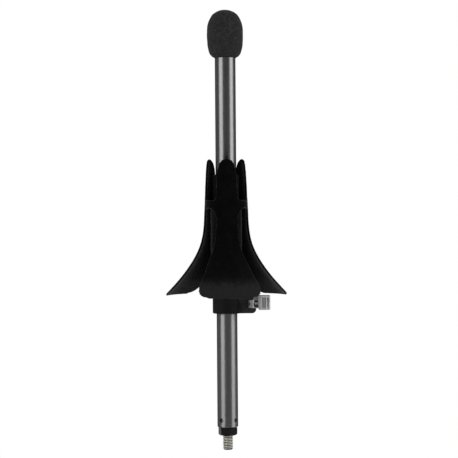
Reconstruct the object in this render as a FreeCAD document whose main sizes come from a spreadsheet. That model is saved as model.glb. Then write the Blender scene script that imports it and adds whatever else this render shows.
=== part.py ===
"""Screw-in bell peg for a trumpet or flugelhorn stand, millimetres.

Frame: +Z runs up the post, the origin is on the post's axis in the plane of the
lock nut's underside (the face that seats on a stand's base), the front petal of
the cone points to -Y and the clamp's ears and lever point to +X.
"""

import FreeCAD, Part
import math
import os
import Sketcher
from FreeCAD import Placement, Rotation, Vector

doc = FreeCAD.newDocument("BellPeg")

# ---------------------------------------------------------------------------
# Driving dimensions
# ---------------------------------------------------------------------------

DIMENSIONS = [
    # post
    ("tube_dia", 16.0, "post tube, outside diameter"),
    ("tube_wall", 1.25, "post tube, wall"),
    ("tube_foot", 6.5, "height of the tube's lower end"),
    ("tube_head", 314.0, "height of the tube's upper end"),
    ("tube_edge", 0.4, "rounding of the tube's lower end"),
    ("stake_height", 11.85, "height of the staking marks"),
    ("stake_dia", 3.6, "mouth diameter of a staking mark"),
    ("stake_core", 1.1, "flat bottom diameter of a staking mark"),
    ("stake_depth", 0.9, "depth of a staking mark"),
    ("stake_count", 4.0, "staking marks around the tube"),
    # foot
    ("nut_flats", 13.0, "M8 lock nut, across flats"),
    ("nut_height", 6.5, "M8 lock nut, height"),
    ("nut_washer_dia", 12.1, "M8 lock nut, chamfer circle on its faces"),
    ("stud_dia", 8.0, "M8 stud, outside diameter"),
    ("stud_pitch_dia", 7.188, "M8 stud, pitch diameter, used where it is screwed in"),
    ("stud_root_dia", 6.47, "M8 stud, root diameter"),
    ("stud_lead", 1.25, "M8 thread, pitch"),
    ("stud_crest", 0.22, "width of a thread crest"),
    ("stud_below", 11.2, "stud length below the nut"),
    ("stud_above", 22.0, "stud length above the nut's underside"),
    ("stud_point", 0.9, "end chamfer of the stud"),
    ("stud_turns", 8.0, "thread grooves on the free length"),
    ("insert_top", 27.0, "height of the threaded insert's top"),
    ("insert_groove", 2.6, "width of the insert's staking groove"),
    ("insert_groove_depth", 0.9, "depth of the insert's staking groove"),
    # top plug and foam
    ("plug_shank", 12.0, "top plug, length inside the tube"),
    ("plug_head", 1.6, "top plug, height above the tube"),
    ("plug_bore", 9.0, "top plug, hollow diameter"),
    ("foam_base", 291.4, "height of the foam tip's lower face"),
    ("foam_top", 328.4, "height of the foam tip's crown"),
    ("foam_gap", 0.05, "foam bore, radial clearance on the tube"),
    ("foam_pocket", 315.9, "height of the foam bore's end"),
    # cone
    ("cone_wall", 1.5, "petal cone, wall"),
    ("finger_top", 213.9, "height of the finger tips"),
    ("band_top", 181.5, "height of the closed band's upper edge"),
    ("band_foot", 175.6, "height of the closed band's lower edge"),
    ("rim_height", 108.6, "height of the petals' rim, on the outer face"),
    ("slot_round", 3.6, "corner radius at the foot of the upper slots"),
    ("petal_round", 10.0, "corner rounding of the petals, across"),
    ("petal_round_long", 13.6, "corner rounding of the petals, along the surface"),
    ("petal_count", 3.0, "petals around the cone"),
    ("sleeve_dia", 24.0, "cone sleeve, outside diameter"),
    ("sleeve_foot", 109.2, "height of the sleeve's lower end"),
    ("web_foot", 176.0, "height of the web's underside"),
    ("web_top", 177.8, "height of the web's upper face"),
    # carrier
    ("hub_dia", 20.0, "carrier hub, outside diameter"),
    ("hub_top", 201.4, "height of the hub's upper end"),
    ("hub_guide_dia", 16.16, "carrier hub, guide bore at its upper end"),
    ("hub_relief_dia", 17.4, "carrier hub, relieved bore"),
    ("hub_guide_length", 22.0, "length of the guide bore"),
    ("collar_dia", 22.0, "clamp collar, outside diameter"),
    ("collar_foot", 94.3, "height of the collar's lower face"),
    ("collar_top", 107.0, "height of the collar's upper end"),
    ("flange_top", 109.0, "height of the flange that carries the sleeve"),
    ("liner_pocket_dia", 18.5, "bore that holds the split liner"),
    ("lip_height", 1.0, "height of the lip under the liner"),
    ("lip_bore_dia", 16.9, "bore of the lip"),
    ("ear_reach", 22.4, "ears, reach from the post's axis"),
    ("ear_top", 107.3, "height of the ears' upper edge"),
    ("ear_front", 4.0, "front ear, distance of its face from the slit's middle"),
    ("ear_rear", 5.0, "rear ear, distance of its face from the slit's middle"),
    ("ear_round", 3.0, "lower corner radius of the ears"),
    ("ear_round_top", 1.5, "upper corner radius of the ears"),
    ("slit_width", 1.6, "width of the clamp slit"),
    ("slit_top", 116.0, "height of the slit's end"),
    ("bolt_hole_dia", 3.3, "bolt hole through the ears"),
    ("nut_pocket_flats", 5.6, "hexagonal pocket in the rear ear, across flats"),
    ("nut_pocket_depth", 2.5, "depth of the hexagonal pocket"),
    # liner and ring
    ("liner_gap", 0.05, "running clearance each side of the liner"),
    ("liner_height", 17.4, "liner, height"),
    ("liner_split", 1.6, "liner, width of its split"),
    ("ring_thick", 1.2, "retaining ring, thickness"),
    ("ring_inner_dia", 19.0, "retaining ring, inside diameter"),
    ("ring_outer_dia", 23.2, "retaining ring, outside diameter"),
    ("ring_opening", 7.0, "retaining ring, width of its opening"),
    # lever and bolt
    ("lever_axis_x", 18.9, "lever pivot, distance from the post's axis along X"),
    ("lever_axis_y", 8.25, "lever pivot, distance in front of the slit's middle"),
    ("lever_axis_z", 101.75, "height of the lever's middle"),
    ("barrel_dia", 5.4, "cam barrel, diameter"),
    ("barrel_height", 6.2, "cam barrel, height"),
    ("barrel_edge", 0.4, "cam barrel, rounding of its ends"),
    ("cam_throw", 0.45, "cam barrel, offset from the pivot"),
    ("pivot_dia", 1.6, "lever pivot pin, diameter"),
    ("tab_start", 4.9, "thumb tab, start along the lever"),
    ("tab_end", 14.15, "thumb tab, end along the lever"),
    ("tab_under", 4.7, "thumb tab, depth below the lever's middle"),
    ("tab_over", 6.8, "thumb tab, height above the lever's middle"),
    ("tab_thick", 2.3, "thumb tab, thickness"),
    ("tab_round_end", 0.9, "thumb tab, corner radius at its free end"),
    ("tab_round_top", 0.55, "thumb tab, upper corner radius at the neck"),
    ("tab_round_low", 1.4, "thumb tab, lower corner radius at the neck"),
    ("bead_foot", 5.3, "bead on the tab, height of its lower edge above the middle"),
    ("bead_rise", 0.42, "bead on the tab, rise above the front face"),
    ("neck_front", 1.35, "lever neck, front face before the pivot"),
    ("neck_back", 1.2, "lever neck, back face behind the pivot"),
    ("window_floor", 0.5, "windows in the neck, floor before the pivot"),
    ("groove_width", 0.85, "grip grooves, width"),
    ("groove_foot", 2.95, "grip grooves, lower end below the lever's middle"),
    ("groove_head", 4.85, "grip grooves, upper end above the lever's middle"),
    ("eye_dia", 3.5, "bolt eye, outside diameter"),
    ("eye_bore_dia", 1.7, "bolt eye, bore"),
    ("eye_thick", 1.8, "bolt eye, thickness"),
    ("eye_slot", 2.1, "slot in the cam barrel for the bolt eye"),
    ("bolt_dia", 3.0, "tension bolt, shank diameter"),
    ("bolt_end", 5.3, "tension bolt, reach behind the slit's middle"),
    ("washer_dia", 6.0, "thrust washer, outside diameter"),
    ("washer_bore_dia", 3.1, "thrust washer, bore"),
    ("washer_thick", 0.8, "thrust washer, thickness"),
    ("tnut_flats", 5.5, "tension nut, across flats"),
    ("tnut_height", 2.4, "tension nut, height"),
]

# Petal cone: outer radius at each height, from above the finger tips to the rim.
CONE_LEVELS = [
    (217.0, 14.95),
    (209.6, 15.20),
    (202.7, 15.60),
    (195.7, 15.95),
    (188.8, 16.25),
    (181.8, 16.52),
    (174.9, 16.83),
    (167.9, 17.16),
    (160.9, 17.62),
    (156.3, 18.17),
    (151.7, 19.07),
    (147.0, 20.42),
    (142.4, 22.28),
    (137.7, 24.65),
    (133.1, 27.45),
    (128.5, 30.60),
    (123.8, 34.15),
    (119.2, 38.00),
    (114.6, 42.15),
    (111.8, 44.78),
    (109.0, 47.42),
]
# Fingers: half-width across each finger at each height.
FINGER_LEVELS = [
    (213.2, 2.30),
    (212.5, 3.70),
    (211.3, 4.88),
    (209.7, 5.88),
    (208.1, 6.44),
    (206.5, 6.96),
    (204.0, 7.46),
    (200.5, 7.90),
    (196.5, 8.18),
    (192.0, 8.32),
]
# Petals: half-angle in degrees at each height.
PETAL_LEVELS = [
    (171.0, 29.9),
    (160.0, 29.9),
    (152.0, 30.0),
    (145.0, 30.6),
    (138.4, 32.3),
    (131.3, 33.8),
    (124.5, 34.2),
    (117.7, 34.2),
]
# Foam tip: radius at each height of its rounded form.
FOAM_LEVELS = [
    (291.85, 9.1),
    (292.8, 10.25),
    (294.7, 11.55),
    (297.0, 12.45),
    (299.3, 13.05),
    (301.6, 13.42),
    (303.9, 13.68),
    (308.6, 13.88),
    (313.2, 13.78),
    (315.5, 13.52),
    (317.9, 13.10),
    (320.2, 12.40),
    (322.5, 11.35),
    (324.8, 9.75),
    (326.6, 7.65),
    (327.9, 4.7),
]

sheet = doc.addObject("Spreadsheet::Sheet", "Dims")
value_of = {}


def add_cell(row, alias, number, note):
    sheet.set("A%d" % row, note)
    sheet.set("B%d" % row, "%g" % number)
    sheet.setAlias("B%d" % row, alias)
    value_of[alias] = float(number)


row = 1
for alias, number, note in DIMENSIONS:
    add_cell(row, alias, number, note)
    row += 1
for prefix, levels, what in (
    ("cone", CONE_LEVELS, "petal cone outer radius"),
    ("finger", FINGER_LEVELS, "finger half-width"),
    ("petal", PETAL_LEVELS, "petal half-angle"),
    ("foam", FOAM_LEVELS, "foam tip radius"),
):
    for k, (height, size) in enumerate(levels):
        add_cell(row, "%s_level_%02d" % (prefix, k), height, what + ", height")
        add_cell(row + 1, "%s_size_%02d" % (prefix, k), size, what)
        row += 2
doc.recompute()


class Size:
    """A number from the sheet together with the expression that reads it."""

    def __init__(self, value, text):
        self.value = float(value)
        self.text = text

    def join(self, sign, other, swap=False):
        one, two = (as_size(other), self) if swap else (self, as_size(other))
        value = {
            "+": lambda: one.value + two.value,
            "-": lambda: one.value - two.value,
            "*": lambda: one.value * two.value,
            "/": lambda: one.value / two.value,
        }[sign]()
        return Size(value, "(%s %s %s)" % (one.text, sign, two.text))

    def __add__(self, other):
        return self.join("+", other)

    def __radd__(self, other):
        return self.join("+", other, True)

    def __sub__(self, other):
        return self.join("-", other)

    def __rsub__(self, other):
        return self.join("-", other, True)

    def __mul__(self, other):
        return self.join("*", other)

    def __rmul__(self, other):
        return self.join("*", other, True)

    def __truediv__(self, other):
        return self.join("/", other)

    def __neg__(self):
        return Size(-self.value, "(0 - %s)" % self.text)


def as_size(x):
    return x if isinstance(x, Size) else Size(x, "%g" % x)


def dim(alias):
    return Size(value_of[alias], "Dims." + alias)


def bind(obj, prop, size):
    """Give a property its size and tie it to the sheet."""
    size = as_size(size)
    parts = prop.split(".")
    if len(parts) == 1:
        setattr(obj, prop, size.value)
    obj.setExpression(prop, size.text)


def levels_of(prefix, count):
    return [
        (value_of["%s_level_%02d" % (prefix, k)], value_of["%s_size_%02d" % (prefix, k)])
        for k in range(count)
    ]


# ---------------------------------------------------------------------------
# Modelling helpers
# ---------------------------------------------------------------------------


def new_body(label, place=None, spin=0.0):
    """A body with its own label; place is its (x, y, z) tied to the sheet, spin its turn about Z."""
    body = doc.addObject("PartDesign::Body", label)
    body.Label = label
    doc.recompute()
    body.Placement = Placement(
        Vector(*[as_size(c).value for c in (place or (0, 0, 0))]),
        Rotation(Vector(0, 0, 1), spin),
    )
    for axis, c in zip("xyz", place or ()):
        if isinstance(c, Size):
            body.setExpression("Placement.Base." + axis, c.text)
    return body


def origin_feature(body, role):
    for item in body.Origin.OriginFeatures:
        if item.Role == role:
            return item
    raise LookupError(role)


def new_sketch(body, name, plane="XZ_Plane", lift=None):
    """A sketch on one of the body's own planes, lifted along the plane's normal."""
    sketch = body.newObject("Sketcher::SketchObject", name)
    sketch.AttachmentSupport = (origin_feature(body, plane), [""])
    sketch.MapMode = "FlatFace"
    if lift is not None:
        lift = as_size(lift)
        sketch.AttachmentOffset = Placement(Vector(0, 0, lift.value), Rotation())
        sketch.setExpression("AttachmentOffset.Base.z", lift.text)
    return sketch


def pin_point(sketch, geo, pos, x, y):
    """Hold a sketch point at (x, y), each tied to the sheet."""
    for kind, axis, c in (("DistanceX", -2, as_size(x)), ("DistanceY", -1, as_size(y))):
        if abs(c.value) < 1e-9:
            sketch.addConstraint(Sketcher.Constraint("PointOnObject", geo, pos, axis))
            continue
        if c.value > 0:
            n = sketch.addConstraint(Sketcher.Constraint(kind, -1, 1, geo, pos, c.value))
        else:
            c = -c
            n = sketch.addConstraint(Sketcher.Constraint(kind, geo, pos, -1, 1, c.value))
        sketch.setExpression("Constraints[%d]" % n, c.text)


def polygon(sketch, points):
    """A closed outline with every corner held by sizes from the sheet."""
    where = [Vector(as_size(x).value, as_size(y).value, 0) for x, y in points]
    geos = []
    for k, a in enumerate(where):
        geos.append(sketch.addGeometry(Part.LineSegment(a, where[(k + 1) % len(where)]), False))
    for k, geo in enumerate(geos):
        after = geos[(k + 1) % len(geos)]
        sketch.addConstraint(Sketcher.Constraint("Coincident", geo, 2, after, 1))
    for geo, (x, y) in zip(geos, points):
        pin_point(sketch, geo, 1, x, y)


def circle(sketch, x, y, radius):
    """A circle held at (x, y) with its radius tied to the sheet."""
    radius = as_size(radius)
    centre = Vector(as_size(x).value, as_size(y).value, 0)
    geo = sketch.addGeometry(Part.Circle(centre, Vector(0, 0, 1), radius.value), False)
    n = sketch.addConstraint(Sketcher.Constraint("Radius", geo, radius.value))
    sketch.setExpression("Constraints[%d]" % n, radius.text)
    if abs(centre.x) < 1e-9 and abs(centre.y) < 1e-9:
        sketch.addConstraint(Sketcher.Constraint("Coincident", geo, 3, -1, 1))
    else:
        pin_point(sketch, geo, 3, x, y)


def hexagon(flats, turn_deg=0.0, x=0, y=0):
    """The six corners of a hexagon, as sizes, from its width across flats."""
    flats = as_size(flats)
    corners = []
    for k in range(6):
        a = math.radians(turn_deg + 60 * k)
        reach = flats / (2 * math.cos(math.radians(30)))
        corners.append((as_size(x) + reach * round(math.cos(a), 9), as_size(y) + reach * round(math.sin(a), 9)))
    return corners


def revolve(body, sketch, name):
    feature = body.newObject("PartDesign::Revolution", name)
    feature.Profile = sketch
    feature.ReferenceAxis = (sketch, ["V_Axis"])
    feature.Angle = 360.0
    sketch.Visibility = False
    return feature


def groove(body, sketch, name):
    feature = body.newObject("PartDesign::Groove", name)
    feature.Profile = sketch
    feature.ReferenceAxis = (sketch, ["V_Axis"])
    feature.Angle = 360.0
    sketch.Visibility = False
    return feature


def pad(body, sketch, name, length, both_ways=False, reverse=False):
    feature = body.newObject("PartDesign::Pad", name)
    feature.Profile = sketch
    bind(feature, "Length", length)
    feature.Midplane = both_ways
    feature.Reversed = reverse
    sketch.Visibility = False
    return feature


def pocket(body, sketch, name, length, both_ways=False, reverse=False):
    """A cut of a stated length; it stops the build if it removes nothing."""
    before = volume(body)
    feature = body.newObject("PartDesign::Pocket", name)
    feature.Profile = sketch
    bind(feature, "Length", length)
    feature.Midplane = both_ways
    feature.Reversed = reverse
    sketch.Visibility = False
    after = volume(body)
    if not after < before - 1e-3:
        raise ValueError("%s cuts nothing from %s" % (name, body.Label))
    return feature


def polar(body, feature, name, count):
    pattern = body.newObject("PartDesign::PolarPattern", name)
    pattern.Originals = [feature]
    pattern.Axis = (origin_feature(body, "Z_Axis"), [""])
    pattern.Angle = 360.0
    bind_count(pattern, count)
    body.Tip = pattern
    return pattern


def bind_count(pattern, count):
    pattern.Occurrences = int(round(count.value))
    pattern.setExpression("Occurrences", count.text)


def volume(body):
    doc.recompute()
    return body.Shape.Volume


def spline(points, start_dir=None, end_dir=None):
    curve = Part.BSplineCurve()
    vectors = [Vector(x, y, 0) for x, y in points]
    if start_dir is not None:
        curve.interpolate(Points=vectors, InitialTangent=start_dir, FinalTangent=end_dir)
    else:
        curve.interpolate(vectors)
    return curve


def chain(sketch, curves):
    """Add curves that meet end to end, hold each where it lies, and close the outline."""
    geos = [sketch.addGeometry(c, False) for c in curves]
    for geo in geos:
        sketch.addConstraint(Sketcher.Constraint("Block", geo))
    return geos


def line(a, b):
    return Part.LineSegment(Vector(a[0], a[1], 0), Vector(b[0], b[1], 0))


def arc(a, mid, b):
    return Part.Arc(Vector(a[0], a[1], 0), Vector(mid[0], mid[1], 0), Vector(b[0], b[1], 0))


def interpolate(levels, height):
    """Linear reading of a table of (height, size)."""
    table = sorted(levels)
    if height <= table[0][0]:
        return table[0][1]
    for (h0, s0), (h1, s1) in zip(table, table[1:]):
        if height <= h1:
            return s0 + (s1 - s0) * (height - h0) / (h1 - h0)
    return table[-1][1]


# ---------------------------------------------------------------------------
# Post tube, with its four staking marks
# ---------------------------------------------------------------------------

tube_r = dim("tube_dia") / 2
tube_inner = tube_r - dim("tube_wall")

post_tube = new_body("post_tube", spin=48.5)
sk = new_sketch(post_tube, "tube_section", "XY_Plane", lift=dim("tube_foot"))
circle(sk, 0, 0, tube_r)
circle(sk, 0, 0, tube_inner)
pad(post_tube, sk, "tube_length", dim("tube_head") - dim("tube_foot"))

# rounding of the lower outer edge, as a small groove
sk = new_sketch(post_tube, "foot_edge")
polygon(
    sk,
    [
        (tube_r - dim("tube_edge"), dim("tube_foot") - 0.5),
        (tube_r + 0.5, dim("tube_foot") - 0.5),
        (tube_r + 0.5, dim("tube_foot") + dim("tube_edge") + 0.2),
        (tube_r, dim("tube_foot") + dim("tube_edge")),
        (tube_r - dim("tube_edge") * 0.3, dim("tube_foot") + dim("tube_edge") * 0.3),
        (tube_r - dim("tube_edge"), dim("tube_foot")),
    ],
)
groove(post_tube, sk, "foot_rounding")

# one staking mark: a cone punched square to the wall, then four around the tube
sk = new_sketch(post_tube, "stake_section")
sk.AttachmentOffset = Placement(Vector(0, dim("stake_height").value, 0), Rotation())
sk.setExpression("AttachmentOffset.Base.y", dim("stake_height").text)
mouth_r = dim("stake_dia") / 2
core_r = dim("stake_core") / 2
polygon(
    sk,
    [
        (tube_r - dim("stake_depth"), 0),
        (tube_r + 0.6, 0),
        (tube_r + 0.6, mouth_r),
        (tube_r, mouth_r),
        (tube_r - dim("stake_depth"), core_r),
    ],
)
before = volume(post_tube)
mark = post_tube.newObject("PartDesign::Groove", "stake_cone")
mark.Profile = sk
mark.ReferenceAxis = (sk, ["H_Axis"])
mark.Angle = 360.0
sk.Visibility = False
if not volume(post_tube) < before - 1:
    raise ValueError("the staking mark cuts nothing")
stakes = post_tube.newObject("PartDesign::PolarPattern", "stakes")
stakes.Originals = [mark]
stakes.Axis = (origin_feature(post_tube, "Z_Axis"), [""])
stakes.Angle = 360.0
bind_count(stakes, dim("stake_count"))
post_tube.Tip = stakes

# ---------------------------------------------------------------------------
# Threaded insert staked into the tube's foot
# ---------------------------------------------------------------------------

pitch_r = dim("stud_pitch_dia") / 2
insert_foot = dim("tube_foot")

threaded_insert = new_body("threaded_insert")
sk = new_sketch(threaded_insert, "insert_section")
neck = tube_inner - dim("insert_groove_depth")
polygon(
    sk,
    [
        (pitch_r, insert_foot),
        (tube_inner - 0.5, insert_foot),
        (tube_inner, insert_foot + 0.5),
        (tube_inner, dim("stake_height") - dim("insert_groove") / 2),
        (neck, dim("stake_height") - dim("insert_groove") / 2 + 0.4),
        (neck, dim("stake_height") + dim("insert_groove") / 2 - 0.4),
        (tube_inner, dim("stake_height") + dim("insert_groove") / 2),
        (tube_inner, dim("insert_top") - 0.8),
        (tube_inner - 0.8, dim("insert_top")),
        (pitch_r, dim("insert_top")),
    ],
)
revolve(threaded_insert, sk, "insert_turning")

# ---------------------------------------------------------------------------
# M8 stud: pitch diameter where it is screwed in, thread form on its free length
# ---------------------------------------------------------------------------

stud_r = dim("stud_dia") / 2
root_r = dim("stud_root_dia") / 2

threaded_stud = new_body("threaded_stud")
sk = new_sketch(threaded_stud, "stud_section")
polygon(
    sk,
    [
        (0, -dim("stud_below")),
        (stud_r - dim("stud_point"), -dim("stud_below")),
        (stud_r, -dim("stud_below") + dim("stud_point")),
        (stud_r, 0),
        (pitch_r, 0),
        (pitch_r, dim("stud_above") - 0.8),
        (pitch_r - 0.8, dim("stud_above")),
        (0, dim("stud_above")),
    ],
)
revolve(threaded_stud, sk, "stud_turning")
sk = new_sketch(threaded_stud, "thread_groove")
half = (dim("stud_lead") - dim("stud_crest")) / 2
first = -(dim("stud_crest") + half)
polygon(
    sk,
    [
        (stud_r + 0.3, first + half),
        (stud_r, first + half),
        (root_r, first + 0.1),
        (root_r, first - 0.1),
        (stud_r, first - half),
        (stud_r + 0.3, first - half),
    ],
)
before = volume(threaded_stud)
thread = groove(threaded_stud, sk, "thread_ring")
if not volume(threaded_stud) < before:
    raise ValueError("the thread groove cuts nothing")
turns = threaded_stud.newObject("PartDesign::LinearPattern", "thread_rings")
turns.Originals = [thread]
turns.Direction = (origin_feature(threaded_stud, "Z_Axis"), [""])
turns.Reversed = True
bind(turns, "Length", dim("stud_lead") * (dim("stud_turns") - 1))
bind_count(turns, dim("stud_turns"))
threaded_stud.Tip = turns

# ---------------------------------------------------------------------------
# M8 lock nut under the tube
# ---------------------------------------------------------------------------

hex_lock_nut = new_body("hex_lock_nut", spin=14.0)
sk = new_sketch(hex_lock_nut, "nut_outline", "XY_Plane")
polygon(sk, hexagon(dim("nut_flats"), 30.0))
circle(sk, 0, 0, pitch_r)
pad(hex_lock_nut, sk, "nut_block", dim("nut_height"))
corner = dim("nut_flats") / 2 / math.cos(math.radians(30))
wash = dim("nut_washer_dia") / 2
rise = (corner - wash) * math.tan(math.radians(30)) + 0.3 * math.tan(math.radians(30))
for name, base, way in (("under", as_size(0), 1), ("over", dim("nut_height"), -1)):
    sk = new_sketch(hex_lock_nut, "nut_chamfer_" + name)
    polygon(
        sk,
        [
            (wash, base),
            (wash, base - 0.6 * way),
            (corner + 0.3, base - 0.6 * way),
            (corner + 0.3, base + rise * way),
        ],
    )
    before = volume(hex_lock_nut)
    groove(hex_lock_nut, sk, "nut_crown_" + name)
    if not volume(hex_lock_nut) < before:
        raise ValueError("the nut chamfer cuts nothing")
sk = new_sketch(hex_lock_nut, "nut_mouth")
polygon(sk, [(pitch_r - 0.1, -0.1), (pitch_r + 0.6, -0.1), (pitch_r - 0.1, 0.6)])
groove(hex_lock_nut, sk, "nut_countersink")

# ---------------------------------------------------------------------------
# Plug in the tube's upper end
# ---------------------------------------------------------------------------

tube_top_plug = new_body("tube_top_plug")
sk = new_sketch(tube_top_plug, "plug_section")
head = dim("tube_head")
polygon(
    sk,
    [
        (0, head - 1.4),
        (dim("plug_bore") / 2, head - 1.4),
        (dim("plug_bore") / 2, head - dim("plug_shank")),
        (tube_inner - 0.6, head - dim("plug_shank")),
        (tube_inner, head - dim("plug_shank") + 1.2),
        (tube_inner, head),
        (tube_r - 0.15, head),
        (tube_r - 0.15, head + dim("plug_head") * 0.35),
        (tube_r - 1.3, head + dim("plug_head") * 0.8),
        (tube_r - 3.2, head + dim("plug_head")),
        (0, head + dim("plug_head")),
    ],
)
revolve(tube_top_plug, sk, "plug_turning")

# ---------------------------------------------------------------------------
# Foam tip: a rounded cap with a blind bore for the tube
# ---------------------------------------------------------------------------

foam_tip = new_body("foam_tip")
sk = new_sketch(foam_tip, "foam_section")
bore = value_of["tube_dia"] / 2 + value_of["foam_gap"]
base_z = value_of["foam_base"]
crown = value_of["foam_top"]
form = [(8.5, base_z)] + [(r, z) for z, r in levels_of("foam", len(FOAM_LEVELS))] + [(0.0, crown)]
chain(
    sk,
    [
        line((bore, base_z), (8.5, base_z)),
        spline(form),
        line((0.0, crown), (0.0, value_of["foam_pocket"])),
        line((0.0, value_of["foam_pocket"]), (bore, value_of["foam_pocket"])),
        line((bore, value_of["foam_pocket"]), (bore, base_z)),
    ],
)
revolve(foam_tip, sk, "foam_form")

# ---------------------------------------------------------------------------
# Petal cone: three fingers, a closed band, three flared petals, and the sleeve
# ---------------------------------------------------------------------------

cone = levels_of("cone", len(CONE_LEVELS))
fingers = levels_of("finger", len(FINGER_LEVELS))
petals = levels_of("petal", len(PETAL_LEVELS))
wall = value_of["cone_wall"]
rim = value_of["rim_height"]


def cone_radius(height):
    return interpolate(cone, height)


def inner_points():
    """The outer form moved inwards by the wall, square to the surface."""
    points = []
    for k, (z, r) in enumerate(cone):
        z0, r0 = cone[max(k - 1, 0)]
        z1, r1 = cone[min(k + 1, len(cone) - 1)]
        along = math.hypot(r1 - r0, z1 - z0)
        nr, nz = -(z0 - z1) / along, -(r1 - r0) / along
        points.append((r + nr * wall, z + nz * wall))
    return points


outer = [(r, z) for z, r in cone]
inner = inner_points()

petal_cone = new_body("petal_cone")
sk = new_sketch(petal_cone, "cone_wall_section")
tip_mid = (
    (outer[-1][0] + inner[-1][0]) / 2 + 0.42,
    (outer[-1][1] + inner[-1][1]) / 2 - 0.42,
)
chain(
    sk,
    [
        line(inner[0], outer[0]),
        spline(outer),
        arc(outer[-1], tip_mid, inner[-1]),
        spline(list(reversed(inner))),
    ],
)
revolve(petal_cone, sk, "cone_wall_form")


def gap_side(height):
    """Half-width of the gap between two petals, across the gap, at this height."""
    r = cone_radius(height)
    half = math.radians(interpolate(petals, height))
    # the petal's corner is rounded in the surface
    slope = math.radians(43.0)
    along = max((height - rim) / math.cos(slope), 0.0)
    across = value_of["petal_round"]
    length = value_of["petal_round_long"]
    if along < length:
        cut = across * (1 - math.sqrt(max(1 - (1 - along / length) ** 2, 0.0)))
        half -= cut / r
    return r * math.sin(math.radians(60) - half)


def slot_side(height):
    """Half-width of the gap between two fingers, across the gap, at this height."""
    r = cone_radius(height)
    return r * math.sin(math.radians(60) - math.asin(interpolate(fingers, height) / r))


def mirror(points):
    return [(-x, z) for x, z in reversed(points)]


# upper slot, open at the top: cut to the back and repeated around the axis
round_r = value_of["slot_round"]
floor = value_of["band_top"]
side = [(slot_side(floor + round_r + d), floor + round_r + d) for d in (0.0, 3.0, 6.0)]
side += [(slot_side(z), z) for z, w in reversed(fingers) if z > floor + round_r + 8]
top_r = cone_radius(value_of["finger_top"])
side += [(top_r * math.sin(math.radians(60)) - 0.35, value_of["finger_top"] - 0.32)]
side += [(top_r * math.sin(math.radians(60)) + 1.2, value_of["finger_top"] + 0.25)]
u0 = side[0][0]
sk = new_sketch(petal_cone, "upper_slot")
k45 = round_r * (1 - math.sqrt(0.5))
ceiling = 220.0
left = mirror(side)
chain(
    sk,
    [
        line((-u0 + round_r, floor), (u0 - round_r, floor)),
        arc((u0 - round_r, floor), (u0 - k45, floor + k45), (u0, floor + round_r)),
        spline(side),
        line(side[-1], (side[-1][0] + 2.5, ceiling)),
        line((side[-1][0] + 2.5, ceiling), (-side[-1][0] - 2.5, ceiling)),
        line((-side[-1][0] - 2.5, ceiling), left[0]),
        spline(left),
        arc((-u0, floor + round_r), (-u0 + k45, floor + k45), (-u0 + round_r, floor)),
    ],
)
slot = pocket(petal_cone, sk, "finger_slot", 60.0)
polar(petal_cone, slot, "finger_slots", dim("petal_count"))

# lower gap, open at the rim
head_z = value_of["band_foot"]
arch_r = gap_side(head_z - 8.6)
heights = [rim - 4.0, rim - 2.0, rim, rim + 0.35, rim + 0.8, rim + 1.5, rim + 2.6, rim + 3.8, rim + 5.2]
heights += [rim + 6.7, 117.0, 119.0, 121.0, 124.5, 128.0, 131.3, 135.0, 138.4, 142.0, 145.0, 148.0, 152.0, 156.0, 161.0, 166.0]
heights += [head_z - arch_r]
side = []
for z in heights:
    u = gap_side(z) if z >= rim else gap_side(rim) + (rim - z) * 1.1
    side.append((u, z))
u1 = side[-1][0]
low = side[0]
left = mirror(side)
sk = new_sketch(petal_cone, "lower_gap")
chain(
    sk,
    [
        spline(side),
        arc((u1, head_z - arch_r), (0.0, head_z), (-u1, head_z - arch_r)),
        spline(left),
        line((-low[0], low[1]), low),
    ],
)
gap = pocket(petal_cone, sk, "petal_gap", 70.0)
polar(petal_cone, gap, "petal_gaps", dim("petal_count"))

# sleeve on the hub and the web that joins it to the band
sk = new_sketch(petal_cone, "sleeve_section")
sleeve_in = dim("hub_dia") / 2 + 0.03
sleeve_out = dim("sleeve_dia") / 2
web_reach = cone_radius(value_of["web_foot"]) - wall * 0.5
polygon(
    sk,
    [
        (sleeve_in, dim("sleeve_foot")),
        (sleeve_out, dim("sleeve_foot")),
        (sleeve_out, dim("web_foot")),
        (web_reach, dim("web_foot")),
        (web_reach, dim("web_top")),
        (sleeve_in, dim("web_top")),
    ],
)
revolve(petal_cone, sk, "sleeve_and_web")

# ---------------------------------------------------------------------------
# Clamp carrier: hub, collar, flange and two ears split by a slit
# ---------------------------------------------------------------------------

clamp_carrier = new_body("clamp_carrier")
hub_r = dim("hub_dia") / 2
collar_r = dim("collar_dia") / 2
foot = dim("collar_foot")
ring_low = dim("web_top") + 0.05
ring_high = ring_low + dim("ring_thick") + 0.1
liner_top = foot + dim("lip_height") + dim("liner_height") + 0.6
sk = new_sketch(clamp_carrier, "hub_section")
polygon(
    sk,
    [
        (dim("lip_bore_dia") / 2, foot),
        (collar_r - 0.5, foot),
        (collar_r, foot + 0.5),
        (collar_r, dim("collar_top")),
        (sleeve_out, dim("collar_top") + 0.6),
        (sleeve_out, dim("flange_top")),
        (hub_r, dim("flange_top")),
        (hub_r, ring_low - 0.05),
        (dim("ring_inner_dia") / 2, ring_low - 0.05),
        (dim("ring_inner_dia") / 2, ring_high),
        (hub_r, ring_high),
        (hub_r, dim("hub_top") - 0.7),
        (hub_r - 0.7, dim("hub_top")),
        (dim("hub_guide_dia") / 2 + 0.3, dim("hub_top")),
        (dim("hub_guide_dia") / 2, dim("hub_top") - 0.3),
        (dim("hub_guide_dia") / 2, dim("hub_top") - dim("hub_guide_length")),
        (dim("hub_relief_dia") / 2, dim("hub_top") - dim("hub_guide_length") - 0.6),
        (dim("hub_relief_dia") / 2, liner_top),
        (dim("liner_pocket_dia") / 2, liner_top),
        (dim("liner_pocket_dia") / 2, foot + dim("lip_height")),
        (dim("lip_bore_dia") / 2, foot + dim("lip_height")),
    ],
)
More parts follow.
